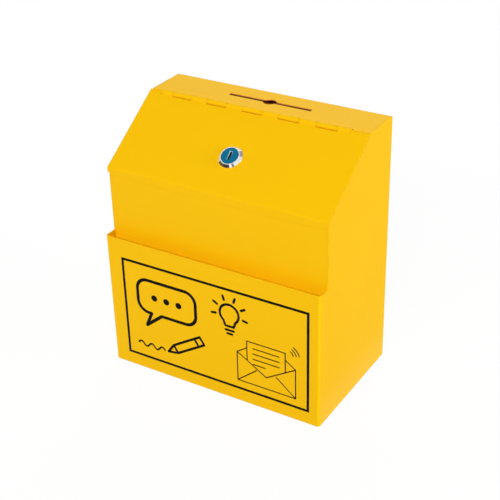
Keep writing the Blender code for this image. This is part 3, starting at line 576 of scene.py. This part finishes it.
# %% [markdown]
# ## Printed pictures
#
# The card pocket carries a ruled border and drawings in black ink. Ink could be painted by the shader,
# but its edges would blur close up. Real ink stands a few hundredths of a millimetre on the paint, so
# each drawing is a thin plate of that height. A drawing is a list of strokes, in millimetres across from
# the box's middle and up from the floor. Every stroke is cut into quads and round joints, and a
# triangulation of all of them keeps what any of them covers, so strokes that cross make one clean plate.
# Every polygon runs counterclockwise, because a clockwise one would stand for everything outside it.

# %% Turn strokes into one flat plate
INK_PROUD = 0.04 * MM
INK_SUNK = 0.04 * MM
DOT_SIDES = 20
POCKET_FACE = wrap_low.y


def dot(centre, diameter, sides=DOT_SIDES):
    turns = [2 * math.pi * i / sides for i in range(sides)]
    return [(centre[0] + diameter / 2 * math.cos(t), centre[1] + diameter / 2 * math.sin(t)) for t in turns]


def stroke(points, width, closed=False):
    """Polygons that cover a pen line: one quad for each straight piece and a dot at each point."""
    ends = points[1:] + points[:1] if closed else points[1:]
    patches = [dot(point, width) for point in points]
    for a, b in zip(points, ends):
        way = (Vector(b) - Vector(a)).normalized() * width / 2
        aside = Vector((-way.y, way.x))
        patches.append([tuple(Vector(p) + s * aside) for p, s in ((a, -1), (b, -1), (b, 1), (a, 1))])
    return patches


def curve(centre, radius, start, end, step=10):
    """Points along an arc, its angles in degrees."""
    count = max(2, round(abs(end - start) / step))
    turns = [math.radians(start + (end - start) * i / count) for i in range(count + 1)]
    return [(centre[0] + radius * math.cos(t), centre[1] + radius * math.sin(t)) for t in turns]


def bar(low, high):
    return [low, (high[0], low[1]), high, (low[0], high[1])]


print("a stroke of two points has", len(stroke([(0, 0), (1, 0)], 1)), "patches")

# %% [markdown]
# `delaunay_2d_cdt` cuts overlapping polygons into triangles and says which polygon each came from. A
# triangle that came from none is a hole and is left out. The sheet of triangles is then pushed back into
# the paint, so the plate is a closed solid that stands on it.

# %% Print a drawing on the pocket
NEAR_ENOUGH = 1e-5


def printed(name, patches):
    corners = [Vector(point) for patch in patches for point in patch]
    starts = [sum(len(patch) for patch in patches[:i]) for i in range(len(patches))]
    loops = [list(range(start, start + len(patch))) for start, patch in zip(starts, patches)]
    points, _, faces, _, _, sources = delaunay_2d_cdt(corners, [], loops, 0, NEAR_ENOUGH, True)
    shape = bmesh.new()
    verts = [shape.verts.new((x * MM, POCKET_FACE - INK_PROUD, z * MM)) for x, z in points]
    for face, source in zip(faces, sources):
        if source:
            shape.faces.new([verts[i] for i in face])
    loose = [vert for vert in shape.verts if not vert.link_faces]
    bmesh.ops.delete(shape, geom=loose, context="VERTS")
    grown = bmesh.ops.extrude_face_region(shape, geom=shape.faces[:], use_keep_orig=True)["geom"]
    sunk = [item for item in grown if isinstance(item, bmesh.types.BMVert)]
    bmesh.ops.translate(shape, verts=sunk, vec=(0, INK_PROUD + INK_SUNK, 0))
    piece = new_piece(name, shape, BLACK_INK)
    print(name, "has", len(piece.data.polygons), "faces")


print("pocket's face at y =", round(POCKET_FACE / MM, 2), "mm")

# %% [markdown]
# ### The ruled border
#
# One line 2.5 mm wide runs round the print with square corners, so it is four bars and not a pen stroke.

# %% Rule the border
BORDER_LEFT, BORDER_RIGHT = -92.5, 98.2
BORDER_LOW, BORDER_HIGH = 12.1, 113.6
RULE = 2.5

printed(
    "print_border",
    [
        bar((BORDER_LEFT, BORDER_LOW), (BORDER_RIGHT, BORDER_LOW + RULE)),
        bar((BORDER_LEFT, BORDER_HIGH - RULE), (BORDER_RIGHT, BORDER_HIGH)),
        bar((BORDER_LEFT, BORDER_LOW), (BORDER_LEFT + RULE, BORDER_HIGH)),
        bar((BORDER_RIGHT - RULE, BORDER_LOW), (BORDER_RIGHT, BORDER_HIGH)),
    ],
)

# %% [markdown]
# ### Say it: a speech bubble
#
# The boldest mark is a speech bubble with three dots. Its outline is a rounded box with a tail let into
# the lower edge, drawn with one closed stroke.

# %% Draw the speech bubble
BOLD = 3.2
BUBBLE_AT = (-46, 80)
BUBBLE_HALF = (31, 17)
BUBBLE_ROUND = 11
TAIL_ROOTS = (-6, -17)
TAIL_TIP = (-23, -31)
DOT_SIZE = 6.4
DOT_SPACING = 13


def bubble_outline():
    x, z = BUBBLE_AT
    low = z - BUBBLE_HALF[1]
    reach_x, reach_z = BUBBLE_HALF[0] - BUBBLE_ROUND, BUBBLE_HALF[1] - BUBBLE_ROUND
    corners = [
        curve((x + reach_x, z + reach_z), BUBBLE_ROUND, 90, 0),
        curve((x + reach_x, z - reach_z), BUBBLE_ROUND, 0, -90),
        [(x + TAIL_ROOTS[0], low), (x + TAIL_TIP[0], z + TAIL_TIP[1]), (x + TAIL_ROOTS[1], low)],
        curve((x - reach_x, z - reach_z), BUBBLE_ROUND, -90, -180),
        curve((x - reach_x, z + reach_z), BUBBLE_ROUND, 180, 90),
    ]
    return [point for corner in corners for point in corner]


bubble = stroke(bubble_outline(), BOLD, closed=True)
for step in (-1, 0, 1):
    bubble.append(dot((BUBBLE_AT[0] + step * DOT_SPACING, BUBBLE_AT[1]), DOT_SIZE))
printed("print_bubble", bubble)

# %% [markdown]
# ### Think it: a lamp
#
# A bulb with rays stands for the idea. The glass is most of a circle that runs down into the neck, the
# cap is two short bars, and the rays are spaced round the upper half.

# %% Draw the bulb
BULB_AT = (20, 88)
BULB_RADIUS = 9.5
PEN = 2.4
NECK_HALF = 4.2
NECK_DROP = 12.5
CAP_BARS = ((16.6, 4.0), (20.2, 2.4))
RAY_REACH = (14.0, 18.0)
RAY_TURNS = range(-10, 191, 40)


def bulb_strokes():
    x, z = BULB_AT
    glass = curve(BULB_AT, BULB_RADIUS, -50, 230)
    left_neck, right_neck = (x - NECK_HALF, z - NECK_DROP), (x + NECK_HALF, z - NECK_DROP)
    lines = stroke([right_neck] + glass + [left_neck], PEN, closed=True)
    for drop, half in CAP_BARS:
        lines += stroke([(x - half, z - drop), (x + half, z - drop)], PEN)
    for turn in RAY_TURNS:
        way = Vector((math.cos(math.radians(turn)), math.sin(math.radians(turn))))
        lines += stroke([tuple(Vector(BULB_AT) + way * reach) for reach in RAY_REACH], PEN)
    return lines


printed("print_bulb", bulb_strokes())

# %% [markdown]
# ### Write it: a pencil
#
# The pencil lies aslant and has just drawn a wavy line. It is drawn flat, along its own length, and then
# turned into place, which keeps the numbers simple.

# %% Draw the pencil
PENCIL_TIP = (-47, 27)
PENCIL_TURN = 32
PENCIL_LENGTH = 44
PENCIL_HALF = 4.2
PENCIL_POINT = 10
PENCIL_BAND = 7
LEAD = [(0, 0), (3.6, -1.6), (3.6, 1.6)]
WAVE_START = -80
WAVE_TO_TIP = 4
WAVE_SWING = 2.2
WAVE_HALF_TURNS = 5
WAVE_STEPS = 30
WAVE_PEN = 1.8


def turned_about(points, pivot, degrees):
    turn = Matrix.Rotation(math.radians(degrees), 2)
    return [tuple(Vector(pivot) + turn @ Vector(point)) for point in points]


def pencil_strokes():
    point, end, half = PENCIL_POINT, PENCIL_LENGTH, PENCIL_HALF
    body = [(0, 0), (point, half), (end, half), (end, -half), (point, -half)]
    lines = stroke(turned_about(body, PENCIL_TIP, PENCIL_TURN), PEN, closed=True)
    for along in (point, end - PENCIL_BAND):
        across = [(along, -half), (along, half)]
        lines += stroke(turned_about(across, PENCIL_TIP, PENCIL_TURN), PEN)
    lines.append(turned_about(LEAD, PENCIL_TIP, PENCIL_TURN))
    return lines


def wave():
    """A line that swings up and down between the border and the pencil's tip."""
    length = PENCIL_TIP[0] - WAVE_TO_TIP - WAVE_START
    shares = [i / WAVE_STEPS for i in range(WAVE_STEPS + 1)]
    heights = [WAVE_SWING * math.sin(WAVE_HALF_TURNS * math.pi * share) for share in shares]
    return [(WAVE_START + length * share, PENCIL_TIP[1] + up) for share, up in zip(shares, heights)]


printed("print_pencil", pencil_strokes() + stroke(wave(), WAVE_PEN))

# %% [markdown]
# ### Post it: an envelope with its note
#
# The lower right has the finest lines. An open envelope holds a note with four ruled lines, and three
# small strokes beside it say that the note is going in.

# %% Draw the envelope
FINE = 1.1
ENVELOPE_LOW = (27, 22)
ENVELOPE_HIGH = (85, 52)
POCKET_POINT = 12
FOLD_SHARE = 0.34
FOLD_RISE = 16
FLAP_RISE = 7
NOTE_HALF = 19
NOTE_TOP = 66
LINE_HALF = 13
LINE_DROP = 6
LINE_STEP = 5.5
LINE_REACHES = (13, 13, 13, 6)
TICK_GAP = 2
TICK_RADII = (6, 9, 12)


def envelope_strokes():
    left, low = ENVELOPE_LOW
    right, high = ENVELOPE_HIGH
    middle = (left + right) / 2
    lines = stroke([(left, high), (left, low), (right, low), (right, high)], FINE)
    lines += stroke([(left, high), (middle, low + POCKET_POINT), (right, high)], FINE)
    for end in (left, right):
        lines += stroke([(end, low), (middle + (end - middle) * FOLD_SHARE, low + FOLD_RISE)], FINE)
    note_left, note_right = middle - NOTE_HALF, middle + NOTE_HALF
    dip = high - (high - low - POCKET_POINT) * (note_left - left) / (middle - left)
    note = [(note_left, dip), (note_left, NOTE_TOP), (note_right, NOTE_TOP), (note_right, dip)]
    lines += stroke(note, FINE)
    for corner, side in ((left, note_left), (right, note_right)):
        lines += stroke([(corner, high), (side, high + FLAP_RISE)], FINE)
    start = middle - LINE_HALF
    for row, reach in enumerate(LINE_REACHES):
        height = NOTE_TOP - LINE_DROP - LINE_STEP * row
        lines += stroke([(start, height), (start + 2 * reach, height)], FINE)
    for radius in TICK_RADII:
        lines += stroke(curve((note_right + TICK_GAP, NOTE_TOP - TICK_GAP), radius, 15, 60), FINE)
    return lines


printed("print_envelope", envelope_strokes())

# %% [markdown]
# ## Studio
#
# The photograph was taken in even white light and stands on pure white. The room is plain white all round
# and darker overhead, so the top plate catches a pale sheen and the sloping lid stays deep in colour. At
# the horizon it is as pale as the far floor, so no line shows there. For the light that it sheds on matt
# surfaces the room is dimmer than it looks, which leaves more for the lamps to shape.

# %% Light the world
ROOM_LIGHT = 0.1
ROOM_STOPS = [(0.0, 0.95), (0.1, 1.0), (0.3, 1.0), (0.6, 0.8), (1.0, 0.8)]


def seen_directly(finish):
    """1 for the rays that look: from the camera, off something shiny or through glass. 0 for the rest."""
    seen = finish.node("ShaderNodeLightPath", output="Is Camera Ray")
    for kind in ("Is Glossy Ray", "Is Transmission Ray"):
        ray = finish.node("ShaderNodeLightPath", output=kind)
        seen = seen.larger(ray)
    return seen


def light_world():
    world = bpy.data.worlds.new("studio_room")
    bpy.context.scene.world = world
    world.use_nodes = True
    room = Finish("studio_room", world.node_tree)
    height = room.part(room.node("ShaderNodeTexCoord", output="Generated"), "Z")
    glow = room.node("ShaderNodeValToRGB", {"stops": ROOM_STOPS}, {0: height})
    background = world.node_tree.nodes["Background"]
    room.feed(background.inputs["Color"], glow)
    room.feed(background.inputs["Strength"], ROOM_LIGHT + (1 - ROOM_LIGHT) * seen_directly(room))


light_world()
print("world", bpy.context.scene.world.name)

# %% [markdown]
# The floor mixes its own lit white with a plain glow, for the same rays. A share of the lit white stays
# in that mix, and with it the faint soft shadow that the box stands in. The light that it bounces up
# comes from a grey, as from a smaller sheet of paper in a dark room, because a floor without end would
# fill every hollow from below and leave the mouth of the card pocket, which it can't reach, too dark
# beside the rest.

# %% Lay the floor
FLOOR_HALF = 6.0
FLOOR_DROP = 0.3 * MM
FLOOR_GRAIN = 0.4
FLOOR_GLOW = 0.94
FLOOR_BOUNCE = 0.45


def lay_floor():
    finish = Finish("pale_floor")
    grain = finish.noise(finish.place(), FLOOR_GRAIN)
    white = finish.blend(paint(252, 252, 252), paint(249, 249, 249), grain)
    grey = (FLOOR_BOUNCE, FLOOR_BOUNCE, FLOOR_BOUNCE, 1)
    seen = seen_directly(finish)
    finish.set(Base_Color=finish.blend(grey, white, seen), Roughness=0.9, Specular_IOR_Level=0.1)
    glow = finish.node("ShaderNodeEmission", None, {"Color": (1, 1, 1, 1), "Strength": 1})
    lit = Wire(finish, finish.shader.outputs[0])
    mixed = finish.node("ShaderNodeMixShader", None, {0: seen * FLOOR_GLOW, 1: lit, 2: glow})
    finish.feed(finish.tree.nodes["Material Output"].inputs["Surface"], mixed)
    shape = bmesh.new()
    bmesh.ops.create_grid(shape, x_segments=2, y_segments=2, size=FLOOR_HALF)
    mesh = bpy.data.meshes.new("studio_floor")
    shape.to_mesh(mesh)
    shape.free()
    mesh.materials.append(finish.material)
    floor = bpy.data.objects.new("studio_floor", mesh)
    floor.location.z = -FLOOR_DROP
    bpy.context.scene.collection.objects.link(floor)


lay_floor()
print("floor is", 2 * FLOOR_HALF, "m wide")

# %% [markdown]
# The key light is a long, narrow soft box far in front, high enough to reach down into the card pocket,
# where it leaves only a thin dark line along the rim. Its distance keeps the light even from left to
# right, its length lets it into the pocket's corners, and a weak low one fills the pocket's front. One on
# the right faces the side wall: a lamp between the two would make the round corner shine as a bright
# line. A weaker one on the left keeps the far side from going dark. The one behind also lights the top
# plate, at a slant that misses the sloping lid.

# %% Hang the lamps
BOX_MIDDLE = Vector((0, 0, 0.12))


def soft_box(name, place, size, watts, mirrored=True):
    data = bpy.data.lights.new(name, "AREA")
    data.shape = "RECTANGLE"
    data.size, data.size_y = size
    data.energy = watts
    lamp = bpy.data.objects.new(name, data)
    lamp.location = place
    lamp.rotation_euler = (BOX_MIDDLE - Vector(place)).to_track_quat("-Z", "Y").to_euler()
    lamp.visible_glossy = mirrored
    bpy.context.scene.collection.objects.link(lamp)


soft_box("key_soft_box", (0.6, -3.71, 2.64), (3.0, 0.5), 168, mirrored=False)
soft_box("low_soft_box", (-1.7, -3.9, 0.9), (0.8, 0.8), 10, mirrored=False)
soft_box("right_soft_box", (2.4, 0.25, 0.7), (0.8, 0.8), 41)
soft_box("left_soft_box", (-2.6, 0.3, 0.6), (1.2, 1.2), 26, mirrored=False)
soft_box("back_soft_box", (-0.9, 2.6, 1.7), (1.6, 1.6), 50, mirrored=False)

# %% [markdown]
# Chrome shows the room that it stands in, and in a white room it would look like paper. Photographers put
# cards where the metal can see them. A brown, a dark and a grey one stand in an arc from the left round
# to the front and another hangs over the back. One lies beside the box, because the side wall would
# mirror a floor whiter than any real one. Only mirrors see any of them.

# %% A card with a mottled face
MOTTLE_SIZE = 0.2
MOTTLE_DARK = 0.7


def card(name, place, size, colour, toward=BOX_MIDDLE):
    finish = Finish(name)
    mottle = finish.noise(finish.place(), MOTTLE_SIZE)
    darker = (*[MOTTLE_DARK * part for part in colour[:3]], 1)
    finish.set(Base_Color=finish.blend(colour, darker, mottle), Roughness=0.9, Specular_IOR_Level=0.1)
    half_width, half_height = size[0] / 2, size[1] / 2
    signs = ((-1, -1), (1, -1), (1, 1), (-1, 1))
    shape = bmesh.new()
    shape.faces.new([shape.verts.new((x * half_width, y * half_height, 0)) for x, y in signs])
    mesh = bpy.data.meshes.new(name)
    shape.to_mesh(mesh)
    shape.free()
    mesh.materials.append(finish.material)
    sheet = bpy.data.objects.new(name, mesh)
    sheet.location = place
    sheet.rotation_euler = (Vector(toward) - Vector(place)).to_track_quat("Z", "Y").to_euler()
    sheet.visible_camera = sheet.visible_diffuse = sheet.visible_shadow = False
    bpy.context.scene.collection.objects.link(sheet)


print("cards turn their face to", tuple(round(part, 3) for part in BOX_MIDDLE))

# %% [markdown]
# Each standing card is set by the turn from the left towards the front at which the lock sees its middle,
# by half the turn that it fills, and by the heights of its lower and upper edge.

# %% Place the cards
CARD_REACH = 0.94
STANDING_CARDS = {
    "brown": (27, 24, 0.02, 0.5, paint(116, 106, 74)),
    "dark": (70, 19, 0.02, 0.5, paint(84, 64, 60)),
    "grey": (115, 8, 0.42, 0.86, paint(122, 122, 120)),
}
for word, (turn, half_turn, low, high, colour) in STANDING_CARDS.items():
    along, aside = math.cos(math.radians(turn)), math.sin(math.radians(turn))
    width = 2 * CARD_REACH * math.tan(math.radians(half_turn))
    place = (-CARD_REACH * along, -CARD_REACH * aside, (low + high) / 2)
    card(f"{word}_card", place, (width, high - low), colour)
card("hanging_card", (0.6, 0.69, 1.05), (1.0, 0.6), paint(192, 187, 178))
card("floor_card", (0.5, 0.35, 0.5 * MM), (0.76, 1.3), paint(150, 150, 150), toward=(0.5, 0.35, 1))

# %% [markdown]
# ## Camera
#
# The camera stands where the photograph was taken from: right of the box and above it, with a long lens
# and a roll of one and a half degrees. Its place and axes were found by matching the box's own corners.

# %% Set the camera
CAMERA_PLACE = Vector((0.46498, -0.74682, 0.6103))
CAMERA_AHEAD = Vector((-0.45795, 0.74099, -0.49114)).normalized()
CAMERA_RIGHT = Vector((0.85694, 0.51497, -0.02145))
FOCAL_PIXELS = 1128
PICTURE_PIXELS = 500
SENSOR = 36
CLIP_START = 0.01


def set_camera():
    data = bpy.data.cameras.new("picture_camera")
    data.sensor_width = SENSOR
    data.lens = FOCAL_PIXELS / PICTURE_PIXELS * SENSOR
    data.clip_start = CLIP_START
    camera = bpy.data.objects.new("picture_camera", data)
    up = CAMERA_RIGHT.cross(CAMERA_AHEAD).normalized()
    right = CAMERA_AHEAD.cross(up)
    axes = Matrix((right, up, -CAMERA_AHEAD)).transposed().to_4x4()
    camera.matrix_world = Matrix.Translation(CAMERA_PLACE) @ axes
    bpy.context.scene.collection.objects.link(camera)
    bpy.context.scene.camera = camera
    return camera


camera = set_camera()
bpy.context.scene.view_settings.view_transform = "Standard"
print("lens", round(camera.data.lens, 2), "mm")

# %% [markdown] ## Check the size and finish  The dressed model may not outgrow the packed one.
